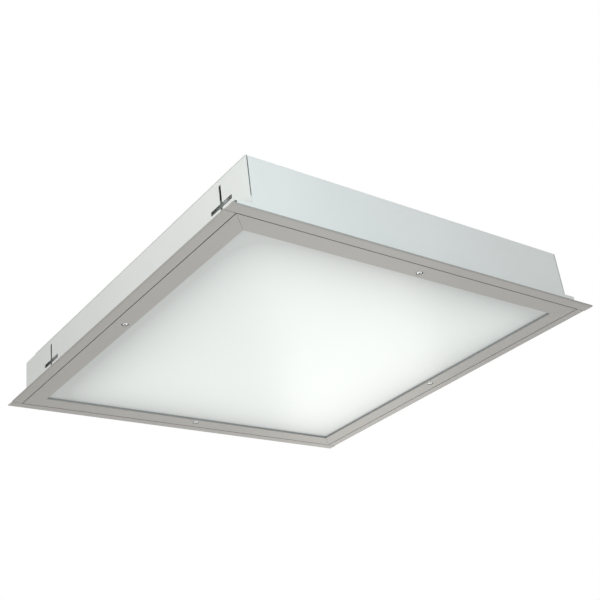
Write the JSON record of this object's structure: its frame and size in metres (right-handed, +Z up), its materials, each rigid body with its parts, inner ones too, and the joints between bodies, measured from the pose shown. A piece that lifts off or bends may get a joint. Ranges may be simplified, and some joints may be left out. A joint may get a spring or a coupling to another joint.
{
  "type": "recessed troffer light",
  "caption": "Square recessed ceiling light: white sheet housing with bracket slots, mitred satin grey frame with an opal pane that lowers on screws, and a side terminal box.",
  "frame": {"origin": "centre of the square rim, in the plane of the visible face", "axes": "+Z up into the ceiling void, +X to the right end wall, +Y to the back wall with the terminal box"},
  "size_m": [0.595, 0.6149, 0.083],
  "materials": {
    "white_powder_steel": "white powder coat, fine orange peel, satin",
    "grey_satin_aluminium": "warm grey satin paint on aluminium extrusion",
    "opal_acrylic": "opal diffuser with a satin outer face",
    "zinc_steel": "bright zinc plate",
    "spring_steel": "plain spring steel",
    "key_aluminium": "plain die-cast",
    "gasket_rubber": "closed-cell rubber",
    "white_foam": "white closed-cell foam",
    "board_white": "white solder mask on board",
    "led_lens": "yellow phosphor lens",
    "white_plastic": "moulded white plastic",
    "grey_plastic": "moulded grey plastic",
    "orange_plastic": "moulded orange plastic",
    "wire_insulation": "insulated solid copper wire, brown and blue",
    "earth_insulation": "green and yellow insulated wire",
    "led_wire_insulation": "red and black insulated wire",
    "brass": "plain",
    "tinned_copper": "tin plate"
  },
  "bodies": {
    "housing": {"housing_pan": "white_powder_steel", "end_plate_left": "white_powder_steel", "end_plate_right": "white_powder_steel", "side_ledge_front": "white_powder_steel", "side_ledge_back": "white_powder_steel", "frame_nuts": "zinc_steel", "rim_trim_front": "grey_satin_aluminium", "rim_trim_back": "grey_satin_aluminium", "rim_trim_left": "grey_satin_aluminium", "rim_trim_right": "grey_satin_aluminium", "gear_tray": "white_powder_steel", "tray_brackets": "white_powder_steel", "tray_screws": "zinc_steel", "led_boards": "board_white", "led_packages": "led_lens", "board_connectors": "white_plastic", "jumper_wires": "led_wire_insulation", "driver_case": "white_plastic", "driver_covers": "grey_plastic", "driver_screws": "zinc_steel", "terminal_box_channel": "white_powder_steel", "terminal_box_lid": "white_powder_steel", "lid_screws": "zinc_steel", "cable_grommet": "gasket_rubber", "blanking_plug": "grey_plastic", "feed_grommet": "gasket_rubber", "terminal_block": "grey_plastic", "block_screw": "zinc_steel", "mains_wires": "wire_insulation", "earth_wire": "earth_insulation", "earth_stud": "brass", "earth_lug": "tinned_copper", "led_wires": "led_wire_insulation"},
    "diffuser_frame": {"frame_rail_front": "grey_satin_aluminium", "frame_rail_right": "grey_satin_aluminium", "frame_rail_back": "grey_satin_aluminium", "frame_rail_left": "grey_satin_aluminium", "corner_keys": "key_aluminium", "pane_gasket": "gasket_rubber", "diffuser_pane": "opal_acrylic", "pane_clips": "spring_steel", "clip_screws": "zinc_steel", "frame_seal": "white_foam", "screw_sleeves": "zinc_steel"},
    "screw_front": {"frame_screw_front": "zinc_steel"},
    "screw_right": {"frame_screw_right": "zinc_steel"},
    "screw_back": {"frame_screw_back": "zinc_steel"},
    "screw_left": {"frame_screw_left": "zinc_steel"},
    "button_earth": {"release_button_earth": "orange_plastic"},
    "button_neutral": {"release_button_neutral": "orange_plastic"},
    "button_live": {"release_button_live": "orange_plastic"}
  },
  "joints": [
    {"name": "frame_lowering", "type": "slide", "parent": "housing", "child": "diffuser_frame", "axis": [0, 0, -1], "range_m": [0, 0.08]},
    {"name": "screw_turn_front", "type": "hinge", "parent": "diffuser_frame", "child": "screw_front", "pos_m": [0, -0.2659, 0.001], "axis": [0, 0, 1], "continuous": true},
    {"name": "screw_turn_right", "type": "hinge", "parent": "diffuser_frame", "child": "screw_right", "pos_m": [0.2659, 0, 0.001], "axis": [0, 0, 1], "continuous": true},
    {"name": "screw_turn_back", "type": "hinge", "parent": "diffuser_frame", "child": "screw_back", "pos_m": [0, 0.2659, 0.001], "axis": [0, 0, 1], "continuous": true},
    {"name": "screw_turn_left", "type": "hinge", "parent": "diffuser_frame", "child": "screw_left", "pos_m": [-0.2659, 0, 0.001], "axis": [0, 0, 1], "continuous": true},
    {"name": "button_press_earth", "type": "slide", "parent": "housing", "child": "button_earth", "axis": [0, 0, -1], "range_m": [0, 0.0015], "stiffness_N_per_m": 1200, "springref_m": -0.001},
    {"name": "button_press_neutral", "type": "slide", "parent": "housing", "child": "button_neutral", "axis": [0, 0, -1], "range_m": [0, 0.0015], "stiffness_N_per_m": 1200, "springref_m": -0.001},
    {"name": "button_press_live", "type": "slide", "parent": "housing", "child": "button_live", "axis": [0, 0, -1], "range_m": [0, 0.0015], "stiffness_N_per_m": 1200, "springref_m": -0.001}
  ]
}
